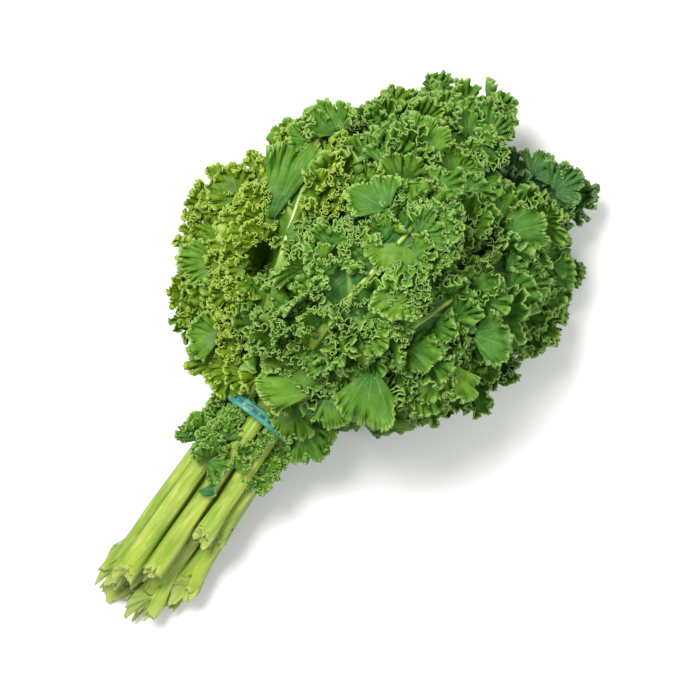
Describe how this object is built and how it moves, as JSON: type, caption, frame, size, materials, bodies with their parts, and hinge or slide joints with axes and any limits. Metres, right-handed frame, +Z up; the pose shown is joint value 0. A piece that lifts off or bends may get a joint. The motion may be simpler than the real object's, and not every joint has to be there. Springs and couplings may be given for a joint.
{
  "type": "bunch of curly kale",
  "caption": "Bunch of curly kale lying on its side, its pale stalks gathered by a teal twist tie and its ruffled green leaves spread into a rounded crown.",
  "frame": {"origin": "middle of the bunch's own box in plan, at the level of the surface it lies on", "axes": "+X along the bunch from the cut stalk ends to the leaf tips, +Z up from the surface"},
  "size_m": [0.4516, 0.2578, 0.1613],
  "materials": {
    "kale_blade": "satin leaf",
    "kale_stalk": "satin, fleshy",
    "tie_ribbon": "satin",
    "tie_wire": "drawn"
  },
  "bodies": {
    "root": {"stalk_01": "kale_stalk", "stalk_02": "kale_stalk", "stalk_03": "kale_stalk", "stalk_04": "kale_stalk", "stalk_05": "kale_stalk", "stalk_06": "kale_stalk", "stalk_07": "kale_stalk", "stalk_08": "kale_stalk", "stalk_09": "kale_stalk", "stalk_10": "kale_stalk", "stalk_11": "kale_stalk", "stalk_12": "kale_stalk", "stalk_13": "kale_stalk", "stalk_14": "kale_stalk", "blade_01": "kale_blade", "blade_02": "kale_blade", "blade_03": "kale_blade", "blade_04": "kale_blade", "blade_05": "kale_blade", "blade_06": "kale_blade", "blade_07": "kale_blade", "blade_08": "kale_blade", "blade_09": "kale_blade", "blade_10": "kale_blade", "blade_11": "kale_blade", "blade_12": "kale_blade", "blade_13": "kale_blade", "blade_14": "kale_blade", "tie_band": "tie_ribbon", "tie_wire": "tie_wire", "leaflet_01": "kale_blade", "leaflet_02": "kale_blade", "leaflet_03": "kale_blade", "leaflet_04": "kale_blade", "leaflet_05": "kale_blade"}
  },
  "joints": []
}
